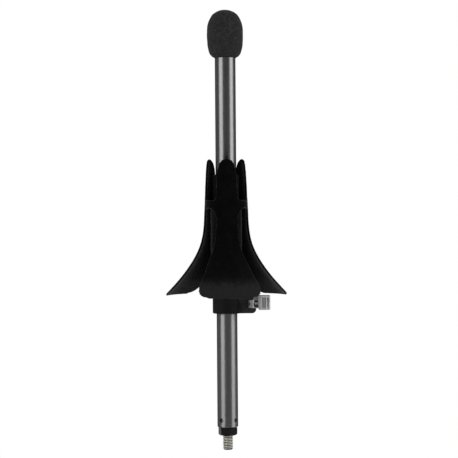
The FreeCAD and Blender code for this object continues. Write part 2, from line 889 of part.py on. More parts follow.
revolve(clamp_carrier, sk, "hub_turning")

# ears, drawn in the slit's plane with rounded outer corners
reach = dim("ear_reach")
top = dim("ear_top")
r_ear = value_of["ear_round"]
r_top = value_of["ear_round_top"]
sk = new_sketch(clamp_carrier, "ear_outline")
polygon(
    sk,
    [
        (collar_r - 1.2, foot),
        (reach - r_ear, foot),
        (reach - r_ear * 0.62, foot + r_ear * 0.076),
        (reach - r_ear * 0.293, foot + r_ear * 0.293),
        (reach - r_ear * 0.076, foot + r_ear * 0.62),
        (reach, foot + r_ear),
        (reach, top - r_top),
        (reach - r_top * 0.076, top - r_top * 0.62),
        (reach - r_top * 0.293, top - r_top * 0.293),
        (reach - r_top * 0.62, top - r_top * 0.076),
        (reach - r_top, top),
        (collar_r - 1.2, top),
    ],
)
pad(clamp_carrier, sk, "front_ear", dim("ear_front"))
sk = new_sketch(clamp_carrier, "rear_ear_outline")
polygon(
    sk,
    [
        (collar_r - 1.2, foot),
        (reach - r_ear, foot),
        (reach - r_ear * 0.62, foot + r_ear * 0.076),
        (reach - r_ear * 0.293, foot + r_ear * 0.293),
        (reach - r_ear * 0.076, foot + r_ear * 0.62),
        (reach, foot + r_ear),
        (reach, top - r_top),
        (reach - r_top * 0.076, top - r_top * 0.62),
        (reach - r_top * 0.293, top - r_top * 0.293),
        (reach - r_top * 0.62, top - r_top * 0.076),
        (reach - r_top, top),
        (collar_r - 1.2, top),
    ],
)
pad(clamp_carrier, sk, "rear_ear", dim("ear_rear"), reverse=True)

# the bore is opened again through the ears' roots
sk = new_sketch(clamp_carrier, "bore_again")
polygon(
    sk,
    [
        (0, foot - 1),
        (dim("lip_bore_dia") / 2, foot - 1),
        (dim("lip_bore_dia") / 2, foot + dim("lip_height")),
        (dim("liner_pocket_dia") / 2, foot + dim("lip_height")),
        (dim("liner_pocket_dia") / 2, liner_top),
        (0, liner_top),
    ],
)
groove(clamp_carrier, sk, "bore_through")

# slit between the ears
sk = new_sketch(clamp_carrier, "slit_outline")
polygon(
    sk,
    [
        (4.0, foot - 1),
        (reach + 1, foot - 1),
        (reach + 1, dim("slit_top")),
        (4.0, dim("slit_top")),
    ],
)
pocket(clamp_carrier, sk, "clamp_slit", dim("slit_width"), both_ways=True)

# bolt hole along Y and the hexagonal pocket in the rear ear
bolt_x = dim("lever_axis_x")
bolt_z = dim("lever_axis_z")
sk = new_sketch(clamp_carrier, "bolt_hole_circle", lift=-(dim("ear_rear") + 1))
circle(sk, bolt_x, bolt_z, dim("bolt_hole_dia") / 2)
pocket(clamp_carrier, sk, "bolt_hole", dim("ear_rear") + dim("ear_front") + 2, reverse=True)
sk = new_sketch(clamp_carrier, "nut_pocket_outline", lift=-(dim("ear_rear") - dim("nut_pocket_depth")))
polygon(sk, hexagon(dim("nut_pocket_flats"), 30.0, bolt_x, bolt_z))
pocket(clamp_carrier, sk, "nut_pocket", dim("nut_pocket_depth") + 1)

# ---------------------------------------------------------------------------
# Split liner between the collar and the tube
# ---------------------------------------------------------------------------

split_liner = new_body("split_liner")
liner_in = tube_r + dim("liner_gap")
liner_out = dim("liner_pocket_dia") / 2 - dim("liner_gap")
liner_foot = foot + dim("lip_height") + 0.3
sk = new_sketch(split_liner, "liner_section")
polygon(
    sk,
    [
        (liner_in + 0.2, liner_foot),
        (liner_out, liner_foot),
        (liner_out, liner_foot + dim("liner_height")),
        (liner_in + 0.2, liner_foot + dim("liner_height")),
        (liner_in, liner_foot + dim("liner_height") - 0.4),
        (liner_in, liner_foot + 0.4),
    ],
)
revolve(split_liner, sk, "liner_turning")
sk = new_sketch(split_liner, "liner_split_outline")
polygon(
    sk,
    [
        (4.0, liner_foot - 1),
        (14.0, liner_foot - 1),
        (14.0, liner_foot + dim("liner_height") + 1),
        (4.0, liner_foot + dim("liner_height") + 1),
    ],
)
pocket(split_liner, sk, "liner_split_cut", dim("liner_split"), both_ways=True)

# ---------------------------------------------------------------------------
# Retaining ring on the hub, above the cone's web
# ---------------------------------------------------------------------------

retaining_ring = new_body("retaining_ring")
sk = new_sketch(retaining_ring, "ring_outline", "XY_Plane", lift=ring_low)
circle(sk, 0, 0, dim("ring_outer_dia") / 2)
circle(sk, 0, 0, dim("ring_inner_dia") / 2)
pad(retaining_ring, sk, "ring_blank", dim("ring_thick"))
sk = new_sketch(retaining_ring, "ring_lugs", "XY_Plane", lift=ring_low)
circle(sk, dim("ring_opening") / 2 + 1.1, -(dim("ring_outer_dia") / 2 - 0.2), 1.3)
circle(sk, -(dim("ring_opening") / 2 + 1.1), -(dim("ring_outer_dia") / 2 - 0.2), 1.3)
pad(retaining_ring, sk, "ring_ears", dim("ring_thick"))
sk = new_sketch(retaining_ring, "ring_gap", "XY_Plane", lift=ring_low - 0.5)
polygon(
    sk,
    [
        (-dim("ring_opening") / 2, -15.0),
        (dim("ring_opening") / 2, -15.0),
        (dim("ring_opening") / 2, -4.0),
        (-dim("ring_opening") / 2, -4.0),
    ],
)
pocket(retaining_ring, sk, "ring_opening_cut", dim("ring_thick") + 1, reverse=True)
sk = new_sketch(retaining_ring, "lug_holes", "XY_Plane", lift=ring_low - 0.5)
circle(sk, dim("ring_opening") / 2 + 1.2, -(dim("ring_outer_dia") / 2 - 0.3), 0.6)
circle(sk, -(dim("ring_opening") / 2 + 1.2), -(dim("ring_outer_dia") / 2 - 0.3), 0.6)
pocket(retaining_ring, sk, "lug_hole_cut", dim("ring_thick") + 1, reverse=True)

# ---------------------------------------------------------------------------
# Cam lever: drawn about its pivot, pointing along +X when closed
# ---------------------------------------------------------------------------

pivot = (dim("lever_axis_x"), -dim("lever_axis_y"), dim("lever_axis_z"))
cam_lever = new_body("cam_lever", place=pivot)

barrel_r = dim("barrel_dia") / 2
sk = new_sketch(cam_lever, "barrel_circle", "XY_Plane", lift=-dim("barrel_height") / 2)
circle(sk, 0, dim("cam_throw"), barrel_r)
barrel = pad(cam_lever, sk, "barrel", dim("barrel_height"))
doc.recompute()
ends = [
    "Edge%d" % (k + 1)
    for k, edge in enumerate(barrel.Shape.Edges)
    if abs(edge.BoundBox.ZMax - edge.BoundBox.ZMin) < 1e-4
]
soft = cam_lever.newObject("PartDesign::Fillet", "barrel_ends")
soft.Base = (barrel, ends)
bind(soft, "Radius", dim("barrel_edge"))

# neck between the barrel and the tab, widening upwards and downwards
s0 = dim("tab_start")
s1 = dim("tab_end")
under = dim("tab_under")
over = dim("tab_over")
sk = new_sketch(cam_lever, "neck_outline", lift=-dim("neck_back"))
polygon(
    sk,
    [
        (0.9, -2.9),
        (2.3, -3.3),
        (3.5, -under + 0.3),
        (s0 + 0.8, -under + 0.1),
        (s0 + 0.8, over - 0.75),
        (s0 - 0.6, over - 0.65),
        (2.5, over - 0.95),
        (1.6, over - 1.6),
        (0.9, 2.9),
    ],
)
pad(cam_lever, sk, "neck", dim("neck_front") + dim("neck_back"))

# thumb tab, curving a little to the front towards its end
thick = dim("tab_thick")
front_line = [
    (s0, -thick / 2),
    (s0 + 3.0, -thick / 2 - 0.18),
    (s0 + 6.0, -thick / 2 - 0.62),
    (s1 - 0.7, -thick / 2 - 1.22),
]
sk = new_sketch(cam_lever, "tab_outline", "XY_Plane", lift=-under)
polygon(
    sk,
    front_line
    + [
        (s1 - 0.1, -thick / 2 - 1.0),
        (s1, -thick / 2 - 0.35),
        (s1 - 0.2, thick / 2 - 1.6),
        (s1 - 0.8, thick / 2 - 1.35),
        (s0 + 6.0, thick / 2 - 0.6),
        (s0 + 3.0, thick / 2 - 0.15),
        (s0, thick / 2),
    ],
)
pad(cam_lever, sk, "tab", under + over)

# bead along the tab's upper edge, proud of the front face
bead = dim("bead_rise")
sk = new_sketch(cam_lever, "bead_outline", "XY_Plane", lift=dim("bead_foot"))
polygon(
    sk,
    [
        (s0 + 1.3, -thick / 2 + 0.2),
        (s0 + 1.7, -thick / 2 - 0.1 - bead),
        (s0 + 3.0, -thick / 2 - 0.18 - bead),
        (s0 + 6.0, -thick / 2 - 0.62 - bead),
        (s1 - 0.8, -thick / 2 - 1.2 - bead),
        (s1 - 0.35, -thick / 2 - 0.9),
        (s1 - 0.5, -thick / 2 - 0.4),
    ],
)
pad(cam_lever, sk, "bead", over - dim("bead_foot"))

# slot for the bolt's eye: open to the back and to the free side of the barrel
sk = new_sketch(cam_lever, "eye_slot_outline", "XY_Plane", lift=-dim("eye_slot") / 2)
polygon(sk, [(-4.0, -1.95), (1.95, -1.95), (1.95, 4.0), (-4.0, 4.0)])
pocket(cam_lever, sk, "eye_slot_cut", dim("eye_slot"), reverse=True)


def round_corner(name, x, z, radius, to_x, to_z):
    """Rounds one corner of the tab; to_x and to_z are +1 or -1 towards the outside."""
    sk = new_sketch(cam_lever, name)
    steps = ((1.0, 0.0), (0.62, 0.076), (0.293, 0.293), (0.076, 0.62), (0.0, 1.0))
    rim_points = [(x - radius * a * to_x, z - radius * b * to_z) for a, b in steps]
    polygon(
        sk,
        [(x - radius * to_x, z + 1.5 * to_z)]
        + rim_points
        + [(x + 1.5 * to_x, z - radius * to_z), (x + 1.5 * to_x, z + 1.5 * to_z)],
    )
    pocket(cam_lever, sk, name + "_cut", 12.0, both_ways=True)


round_corner("end_corner_top", s1, over, dim("tab_round_end"), 1, 1)
round_corner("end_corner_low", s1, -under, dim("tab_round_end"), 1, -1)
round_corner("neck_corner_top", s0, over, dim("tab_round_top"), -1, 1)
round_corner("neck_corner_low", s0, -under, dim("tab_round_low"), -1, -1)

# two sunk windows in the neck, a rib between them
for name, low, high in (("upper", 1.05, 2.95), ("lower", -2.65, -0.35)):
    sk = new_sketch(cam_lever, "window_" + name, lift=dim("window_floor"))
    polygon(
        sk,
        [
            (1.9, low),
            (s0 - 0.4, low),
            (s0, low + 0.4),
            (s0, high - 0.4),
            (s0 - 0.4, high),
            (1.9, high),
            (1.5, high - 0.4),
            (1.5, low + 0.4),
        ],
    )
    pocket(cam_lever, sk, "window_cut_" + name, 6.0, reverse=True)

# pivot hole
sk = new_sketch(cam_lever, "pivot_circle", "XY_Plane", lift=-dim("barrel_height") / 2 - 1)
circle(sk, 0, 0, dim("pivot_dia") / 2)
pocket(cam_lever, sk, "pivot_hole", dim("barrel_height") + 2, reverse=True)

# three grip grooves in the tab's front face, with rounded lower ends
g_w = dim("groove_width") / 2
low = -dim("groove_foot")
high = dim("groove_head")
for k, (along, bottom) in enumerate(((3.6, 1.20), (5.15, 1.19), (7.4, 1.50))):
    gx = s0 + along
    sk = new_sketch(cam_lever, "grip_groove_%d" % k, lift=bottom)
    polygon(
        sk,
        [
            (gx - g_w, low + 0.25),
            (gx - g_w * 0.5, low),
            (gx + g_w * 0.5, low),
            (gx + g_w, low + 0.25),
            (gx + g_w, high - 0.25),
            (gx + g_w * 0.5, high),
            (gx - g_w * 0.5, high),
            (gx - g_w, high - 0.25),
        ],
    )
    pocket(cam_lever, sk, "grip_groove_cut_%d" % k, 3.0, reverse=True)

# ---------------------------------------------------------------------------
# Pivot pin
# ---------------------------------------------------------------------------

lever_pivot_pin = new_body("lever_pivot_pin", place=pivot)
sk = new_sketch(lever_pivot_pin, "pin_section")
pin_r = dim("pivot_dia") / 2
pin_half = dim("barrel_height") / 2 - 0.05
polygon(
    sk,
    [
        (0, -pin_half),
        (pin_r - 0.2, -pin_half),
        (pin_r, -pin_half + 0.2),
        (pin_r, pin_half - 0.2),
        (pin_r - 0.2, pin_half),
        (0, pin_half),
    ],
)
revolve(lever_pivot_pin, sk, "pin_turning")

# ---------------------------------------------------------------------------
# Tension bolt: flat eye on the pivot, then a round shank through both ears
# ---------------------------------------------------------------------------

tension_bolt = new_body("tension_bolt", place=pivot)
sk = new_sketch(tension_bolt, "eye_outline", "XY_Plane", lift=-dim("eye_thick") / 2)
circle(sk, 0, 0, dim("eye_dia") / 2)
pad(tension_bolt, sk, "eye", dim("eye_thick"))
shank_start = dim("lever_axis_y") - dim("ear_front") - dim("washer_thick") + 0.25
shank_end = dim("lever_axis_y") + dim("bolt_end")
sk = new_sketch(tension_bolt, "neck_strip", "XY_Plane", lift=-dim("eye_thick") / 2)
polygon(sk, [(-1.2, 0.3), (1.2, 0.3), (1.2, shank_start + 0.3), (-1.2, shank_start + 0.3)])
pad(tension_bolt, sk, "flat_neck", dim("eye_thick"))
sk = new_sketch(tension_bolt, "shank_circle", lift=-shank_end)
circle(sk, 0, 0, dim("bolt_dia") / 2)
pad(tension_bolt, sk, "shank", shank_end - shank_start)
sk = new_sketch(tension_bolt, "eye_bore_circle", "XY_Plane", lift=-dim("eye_thick") / 2 - 1)
circle(sk, 0, 0, dim("eye_bore_dia") / 2)
pocket(tension_bolt, sk, "eye_bore", dim("eye_thick") + 2, reverse=True)

# ---------------------------------------------------------------------------
# Thrust washer and tension nut
# ---------------------------------------------------------------------------

cam_washer = new_body("cam_washer", place=(bolt_x, -(dim("ear_front") + dim("washer_thick")), bolt_z))
sk = new_sketch(cam_washer, "washer_outline")
circle(sk, 0, 0, dim("washer_dia") / 2)
circle(sk, 0, 0, dim("washer_bore_dia") / 2)
pad(cam_washer, sk, "washer_blank", dim("washer_thick"), reverse=True)

tension_nut = new_body("tension_nut", place=(bolt_x, dim("ear_rear") - dim("nut_pocket_depth"), bolt_z))
sk = new_sketch(tension_nut, "tension_nut_outline")
polygon(sk, hexagon(dim("tnut_flats"), 30.0))
circle(sk, 0, 0, dim("bolt_dia") / 2)
pad(tension_nut, sk, "tension_nut_block", dim("tnut_height"), reverse=True)

# ---------------------------------------------------------------------------
# Check and write
# ---------------------------------------------------------------------------

doc.recompute()
for item in doc.Objects:
    bad = [s for s in item.State if s in ("Invalid", "Error")]
    if bad:
        raise SystemExit("%s is %s" % (item.Label, ", ".join(bad)))

pieces = [o for o in doc.Objects if o.TypeId == "PartDesign::Body"]
for piece in pieces:
    shape = piece.Shape
    if shape.isNull() or not shape.isValid():
        raise SystemExit("%s has no valid shape" % piece.Label)
    if len(shape.Solids) != 1:
        raise SystemExit("%s has %d solids" % (piece.Label, len(shape.Solids)))

os.makedirs("parts", exist_ok=True)
for piece in pieces:
    piece.Shape.exportStep("parts/%s.step" % piece.Label)
    box = piece.Shape.BoundBox
    print(
        "%-16s %9.1f mm3  x %7.2f %7.2f  y %7.2f %7.2f  z %7.2f %7.2f"
        % (piece.Label, piece.Shape.Volume, box.XMin, box.XMax, box.YMin, box.YMax, box.ZMin, box.ZMax)
    )
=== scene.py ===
import math

import bmesh
import bpy
import numpy as np
from mathutils import Matrix, Vector, noise


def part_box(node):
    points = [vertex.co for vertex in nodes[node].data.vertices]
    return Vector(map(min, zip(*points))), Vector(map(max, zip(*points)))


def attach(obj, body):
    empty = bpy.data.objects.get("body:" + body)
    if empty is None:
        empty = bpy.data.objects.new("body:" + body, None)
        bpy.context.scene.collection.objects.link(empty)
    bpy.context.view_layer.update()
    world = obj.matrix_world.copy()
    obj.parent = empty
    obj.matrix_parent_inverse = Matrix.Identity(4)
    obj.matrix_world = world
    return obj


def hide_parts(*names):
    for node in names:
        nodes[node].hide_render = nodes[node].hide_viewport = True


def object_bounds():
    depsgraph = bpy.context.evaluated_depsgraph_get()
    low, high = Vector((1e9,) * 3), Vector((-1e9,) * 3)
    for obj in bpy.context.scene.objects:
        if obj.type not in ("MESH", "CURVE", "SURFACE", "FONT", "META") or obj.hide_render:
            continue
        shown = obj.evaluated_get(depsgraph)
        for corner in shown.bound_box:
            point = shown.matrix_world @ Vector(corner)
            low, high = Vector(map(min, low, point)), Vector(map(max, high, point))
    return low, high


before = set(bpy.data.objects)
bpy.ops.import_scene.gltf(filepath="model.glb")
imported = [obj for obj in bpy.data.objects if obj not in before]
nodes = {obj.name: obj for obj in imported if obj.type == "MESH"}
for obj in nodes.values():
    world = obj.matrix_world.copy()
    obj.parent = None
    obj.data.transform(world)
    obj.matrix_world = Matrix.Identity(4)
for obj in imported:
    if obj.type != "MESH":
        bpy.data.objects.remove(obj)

scene = bpy.context.scene
bpy.context.view_layer.update()
cad_low, cad_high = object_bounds()

MM = 0.001

# ---------------------------------------------------------------------------
# Camera
# ---------------------------------------------------------------------------

AZIMUTH = math.radians(-2.2)
DISTANCE = 1.490
EYE_HEIGHT = 0.1818
PITCH = math.radians(0.862)
ROLL = math.radians(-0.43)

back = Vector((math.sin(AZIMUTH), -math.cos(AZIMUTH), 0.0))
right = Vector((math.cos(AZIMUTH), math.sin(AZIMUTH), 0.0))
aim = right * (2.04 * MM) + Vector((0, 0, EYE_HEIGHT - DISTANCE * math.tan(PITCH)))
camera_data = bpy.data.cameras.new("camera")
camera = bpy.data.objects.new("camera", camera_data)
scene.collection.objects.link(camera)
camera.location = back * DISTANCE + right * (2.04 * MM) + Vector((0, 0, EYE_HEIGHT))
turn = (aim - camera.location).to_track_quat("-Z", "Y").to_matrix().to_4x4()
camera.matrix_world = (
    Matrix.Translation(camera.location) @ turn @ Matrix.Rotation(ROLL, 4, "Z")
)
camera_data.sensor_width = 36.0
camera_data.lens = 151.6
camera_data.clip_start = 0.05
camera_data.clip_end = 50.0
scene.camera = camera

# ---------------------------------------------------------------------------
# Studio: pale floor, pale surround, two tall soft boxes, a weak front fill
# ---------------------------------------------------------------------------

scene.view_settings.view_transform = "Standard"
scene.view_settings.look = "None"
scene.view_settings.exposure = 0.0
scene.view_settings.gamma = 1.0

world = bpy.data.worlds.new("studio")
scene.world = world
world.use_nodes = True
wt = world.node_tree
wt.nodes.clear()
w_out = wt.nodes.new("ShaderNodeOutputWorld")
w_seen = wt.nodes.new("ShaderNodeBackground")
w_seen.inputs["Color"].default_value = (1.0, 1.0, 1.0, 1.0)
w_seen.inputs["Strength"].default_value = 1.0
w_room = wt.nodes.new("ShaderNodeBackground")
w_room.inputs["Strength"].default_value = 1.0
w_mix = wt.nodes.new("ShaderNodeMixShader")
w_path = wt.nodes.new("ShaderNodeLightPath")
w_coord = wt.nodes.new("ShaderNodeTexCoord")
w_split = wt.nodes.new("ShaderNodeSeparateXYZ")
w_ramp = wt.nodes.new("ShaderNodeValToRGB")
w_map = wt.nodes.new("ShaderNodeMapRange")
w_map.inputs["From Min"].default_value = -1.0
w_map.inputs["From Max"].default_value = 1.0
w_map.inputs["To Min"].default_value = 0.0
w_map.inputs["To Max"].default_value = 1.0
ramp = w_ramp.color_ramp
ramp.elements[0].position = 0.0
ramp.elements[0].color = (0.008, 0.008, 0.009, 1.0)
ramp.elements[1].position = 1.0
ramp.elements[1].color = (1.0, 1.0, 1.0, 1.0)
for position, level in ((0.40, 0.022), (0.60, 0.10), (0.72, 0.35), (0.82, 0.75), (0.92, 1.0)):
    e = ramp.elements.new(position)
    e.color = (level, level, level * 1.01, 1.0)
wt.links.new(w_coord.outputs["Generated"], w_split.inputs[0])
wt.links.new(w_split.outputs["Y"], w_map.inputs["Value"])
wt.links.new(w_map.outputs["Result"], w_ramp.inputs["Fac"])
wt.links.new(w_ramp.outputs["Color"], w_room.inputs["Color"])
wt.links.new(w_path.outputs["Is Camera Ray"], w_mix.inputs["Fac"])
wt.links.new(w_room.outputs[0], w_mix.inputs[1])
wt.links.new(w_seen.outputs[0], w_mix.inputs[2])
wt.links.new(w_mix.outputs[0], w_out.inputs["Surface"])


def soft_box(name, azimuth, distance, height, size_x, size_y, power, tilt=0.0):
    """An area light that faces the post; azimuth 0 is the camera's side."""
    data = bpy.data.lights.new(name, "AREA")
    data.shape = "RECTANGLE"
    data.size = size_x
    data.size_y = size_y
    data.energy = power
    data.color = (1.0, 1.0, 1.0)
    lamp = bpy.data.objects.new(name, data)
    scene.collection.objects.link(lamp)
    a = math.radians(azimuth)
    place = Vector((math.sin(a) * distance, -math.cos(a) * distance, height))
    look = Vector((0, 0, height - tilt)) - place
    lamp.rotation_mode = "QUATERNION"
    lamp.location = place
    lamp.rotation_quaternion = look.to_track_quat("-Z", "Y")
    lamp.visible_camera = False
    return lamp


soft_box("box_left", -55.0, 1.30, 0.66, 1.00, 1.20, 16.6)
soft_box("box_right", 71.0, 1.30, 0.66, 1.00, 1.20, 16.8)

floor_z = cad_low.z - 0.1 * MM
bm = bmesh.new()
rings = [0.0, 0.05, 0.12, 0.3, 0.8, 2.0, 5.0, 12.0]
centre = bm.verts.new((0, 0, floor_z))
last = None
for r in rings[1:]:
    ring = [
        bm.verts.new((r * math.cos(2 * math.pi * i / 64), r * math.sin(2 * math.pi * i / 64), floor_z))
        for i in range(64)
    ]
    for i in range(64):
        j = (i + 1) % 64
        if last is None:
            bm.faces.new((centre, ring[i], ring[j]))
        else:
            bm.faces.new((last[i], ring[i], ring[j], last[j]))
    last = ring
floor_mesh = bpy.data.meshes.new("floor")
bm.to_mesh(floor_mesh)
bm.free()
floor = bpy.data.objects.new("floor", floor_mesh)
scene.collection.objects.link(floor)

# ---------------------------------------------------------------------------
# Materials
# ---------------------------------------------------------------------------


class Paint:
    """A Principled material with noise-driven colour, roughness and relief in object space."""

    def __init__(self, name, **sockets):
        self.material = bpy.data.materials.new(name)
        self.material.use_nodes = True
        self.tree = self.material.node_tree
        self.shader = self.tree.nodes["Principled BSDF"]
        for key, value in sockets.items():
            self.shader.inputs[key.replace("_", " ")].default_value = value
        self.coord = self.tree.nodes.new("ShaderNodeTexCoord")
        self.height = None

    def link(self, a, b):
        self.tree.links.new(a, b)

    def node(self, kind, **inputs):
        n = self.tree.nodes.new(kind)
        for key, value in inputs.items():
            n.inputs[key.replace("_", " ")].default_value = value
        return n

    def scaled(self, x, y, z):
        """Object coordinates multiplied by x, y, z (features per metre)."""
        m = self.tree.nodes.new("ShaderNodeMapping")
        m.inputs["Scale"].default_value = (x, y, z)
        self.link(self.coord.outputs["Object"], m.inputs["Vector"])
        return m.outputs["Vector"]

    def noise(self, scale, detail=3.0, rough=0.55, stretch=(1, 1, 1)):
        n = self.node("ShaderNodeTexNoise", Scale=scale, Detail=detail, Roughness=rough)
        self.link(self.scaled(*stretch), n.inputs["Vector"])
        return n.outputs["Fac"]

    def cells(self, scale, stretch=(1, 1, 1), feature="F1"):
        n = self.node("ShaderNodeTexVoronoi", Scale=scale)
        n.feature = feature
        self.link(self.scaled(*stretch), n.inputs["Vector"])
        return n.outputs["Distance"]

    def ranged(self, value, low, high, to_low, to_high):
        m = self.tree.nodes.new("ShaderNodeMapRange")
        m.inputs["From Min"].default_value = low
        m.inputs["From Max"].default_value = high
        m.inputs["To Min"].default_value = to_low
        m.inputs["To Max"].default_value = to_high
        self.link(value, m.inputs["Value"])
        return m.outputs["Result"]

    def sum(self, a, b, operation="ADD"):
        m = self.tree.nodes.new("ShaderNodeMath")
        m.operation = operation
        self.link(a, m.inputs[0])
        self.link(b, m.inputs[1])
        return m.outputs[0]

    def times(self, a, factor):
        m = self.tree.nodes.new("ShaderNodeMath")
        m.operation = "MULTIPLY"
        m.inputs[1].default_value = factor
        self.link(a, m.inputs[0])
        return m.outputs[0]

    def colours(self, value, stops):
        r = self.tree.nodes.new("ShaderNodeValToRGB")
        while len(r.color_ramp.elements) < len(stops):
            r.color_ramp.elements.new(0.5)
        for element, (position, colour) in zip(r.color_ramp.elements, stops):
            element.position = position
            element.color = (*colour, 1.0)
        self.link(value, r.inputs["Fac"])
        return r.outputs["Color"]

    def base(self, colour):
        self.link(colour, self.shader.inputs["Base Color"])

    def rough(self, value):
        self.link(value, self.shader.inputs["Roughness"])

    def relief(self, value, distance, strength=1.0):
        """Adds a bump; several reliefs chain one after another."""
        b = self.tree.nodes.new("ShaderNodeBump")
        b.inputs["Strength"].default_value = strength
        b.inputs["Distance"].default_value = distance
        self.link(value, b.inputs["Height"])
        if self.height is not None:
            self.link(self.height, b.inputs["Normal"])
        self.height = b.outputs["Normal"]
        self.link(self.height, self.shader.inputs["Normal"])


def grey(v, warm=0.0):
    return (v * (1 + warm), v, v * (1 - warm))


MARK_Z = 0.01185

# graphite lacquer of the post: fine flake, faint lengthwise polish, light rub marks
p = Paint("graphite_lacquer", Metallic=1.0, Roughness=0.42, Specular_IOR_Level=0.5, Anisotropic=0.9, Anisotropic_Rotation=0.25)
p.shader.inputs["Specular Tint"].default_value = (0.18, 0.18, 0.19, 1.0)
flake = p.noise(5200.0, 2.0, 0.6)
polish = p.noise(900.0, 3.0, 0.6, (1, 1, 0.02))
cloud = p.noise(60.0, 3.0, 0.5)
tone = p.sum(p.sum(p.times(flake, 0.35), p.times(polish, 0.35)), p.times(cloud, 0.3))
# painted shade: a dark ring is painted into each of the four punch marks, where shade falls in the hollow
spun = p.tree.nodes.new("ShaderNodeMapping")
spun.inputs["Rotation"].default_value = (0.0, 0.0, math.radians(-48.5))
p.link(p.coord.outputs["Object"], spun.inputs["Vector"])
fold = p.tree.nodes.new("ShaderNodeVectorMath")
fold.operation = "ABSOLUTE"
p.link(spun.outputs["Vector"], fold.inputs[0])
split = p.tree.nodes.new("ShaderNodeSeparateXYZ")
p.link(fold.outputs["Vector"], split.inputs[0])
aside = p.sum(split.outputs["X"], split.outputs["Y"], "MINIMUM")
above = p.ranged(split.outputs["Z"], MARK_Z - 0.01, MARK_Z + 0.01, -0.01, 0.01)
away = p.tree.nodes.new("ShaderNodeMath")
away.operation = "SQRT"
p.link(p.sum(p.sum(aside, aside, "MULTIPLY"), p.sum(above, above, "MULTIPLY")), away.inputs[0])
ring = p.sum(p.ranged(away.outputs[0], 1.95 * MM, 1.55 * MM, 0.0, 1.0), p.ranged(away.outputs[0], 0.40 * MM, 0.70 * MM, 0.0, 1.0), "MULTIPLY")
tone = p.sum(tone, p.times(ring, 0.52), "SUBTRACT")
p.base(p.colours(tone, [(0.0, grey(0.016)), (0.25, grey(0.175)), (0.5, grey(0.200)), (0.75, grey(0.228))]))
p.rough(p.ranged(p.sum(p.times(polish, 0.6), p.times(cloud, 0.4)), 0.3, 0.7, 0.405, 0.435))
p.relief(flake, 0.0015 * MM, 0.3)
mat_post = p.material

# zinc plating: bright, slightly warm, with a crystalline mottling
p = Paint("zinc_plating", Metallic=1.0, Roughness=0.3)
mottle = p.noise(1400.0, 4.0, 0.6)
stain = p.noise(260.0, 3.0, 0.6)
p.base(p.colours(p.sum(p.times(mottle, 0.5), p.times(stain, 0.5)), [(0.3, (0.40, 0.385, 0.34)), (0.5, (0.48, 0.47, 0.43)), (0.7, (0.55, 0.54, 0.51))]))
p.rough(p.ranged(stain, 0.3, 0.7, 0.28, 0.38))
p.relief(mottle, 0.004 * MM, 0.5)
mat_zinc = p.material

# dull blackened steel of the small clamp hardware
p = Paint("dull_steel", Metallic=1.0, Roughness=0.45)
mottle = p.noise(1200.0, 3.0, 0.6)
p.base(p.colours(mottle, [(0.3, (0.095, 0.095, 0.098)), (0.7, (0.15, 0.15, 0.152))]))
p.rough(p.ranged(mottle, 0.3, 0.7, 0.40, 0.52))
p.relief(mottle, 0.004 * MM, 0.5)
mat_dull = p.material

# the same plating on the rolled thread, with painted shade: the roots are painted nearly black where shade falls
# between the turns, the crests bright
p = Paint("zinc_thread", Metallic=0.45, Roughness=0.50, Specular_IOR_Level=0.25)
p.shader.inputs["Specular Tint"].default_value = (0.35, 0.35, 0.33, 1.0)
split = p.tree.nodes.new("ShaderNodeSeparateXYZ")
p.link(p.coord.outputs["Object"], split.inputs[0])
reach = p.tree.nodes.new("ShaderNodeMath")
reach.operation = "SQRT"
p.link(p.sum(p.sum(split.outputs["X"], split.outputs["X"], "MULTIPLY"), p.sum(split.outputs["Y"], split.outputs["Y"], "MULTIPLY")), reach.inputs[0])
mottle = p.noise(1400.0, 3.0, 0.6)
tone = p.sum(p.ranged(reach.outputs[0], 0.00330, 0.00400, 0.0, 0.96), p.times(mottle, 0.06))
p.base(p.colours(tone, [(0.06, (0.030, 0.027, 0.021)), (0.50, (0.21, 0.20, 0.17)), (0.95, (0.72, 0.70, 0.63))]))
p.rough(p.ranged(mottle, 0.3, 0.7, 0.44, 0.56))
p.relief(mottle, 0.001 * MM, 0.3)
mat_thread = p.material

# gloss black nut
p = Paint("gloss_black", Metallic=0.0, Roughness=0.12, IOR=1.5, Specular_IOR_Level=0.16)
orange = p.noise(700.0, 2.0, 0.5)
dust = p.noise(2600.0, 2.0, 0.5)
p.base(p.colours(orange, [(0.3, (0.0025, 0.0025, 0.0034)), (0.7, (0.0045, 0.0045, 0.0058))]))
p.rough(p.ranged(dust, 0.3, 0.7, 0.10, 0.20))
p.relief(orange, 0.01 * MM, 0.6)
mat_gloss = p.material

# black flock: short dense fibres, soft light at grazing angles
p = Paint("black_flock", Roughness=1.0, Specular_IOR_Level=0.01, Sheen_Weight=0.29, Sheen_Roughness=0.34)
p.shader.inputs["Sheen Tint"].default_value = (0.85, 0.85, 0.87, 1.0)
nap = p.noise(2600.0, 3.0, 0.65)
brushed = p.noise(150.0, 4.0, 0.6)
clump = p.noise(700.0, 3.0, 0.6)
tone = p.sum(p.sum(p.times(nap, 0.35), p.times(brushed, 0.35)), p.times(clump, 0.3))
# painted light: the flock is painted lighter in noisy patches towards the rim, where the flaring bell faces up into
# the light
split = p.tree.nodes.new("ShaderNodeSeparateXYZ")
p.link(p.coord.outputs["Object"], split.inputs[0])
rim_light_paint = p.ranged(split.outputs["Z"], 0.1235, 0.1145, 0.0, 0.46)
patch = p.ranged(p.noise(300.0, 4.0, 0.65), 0.36, 0.64, 0.60, 1.0)
tone = p.sum(tone, p.sum(rim_light_paint, patch, "MULTIPLY"))
reach = p.tree.nodes.new("ShaderNodeMath")
reach.operation = "SQRT"
p.link(p.sum(p.sum(split.outputs["X"], split.outputs["X"], "MULTIPLY"), p.sum(split.outputs["Y"], split.outputs["Y"], "MULTIPLY")), reach.inputs[0])
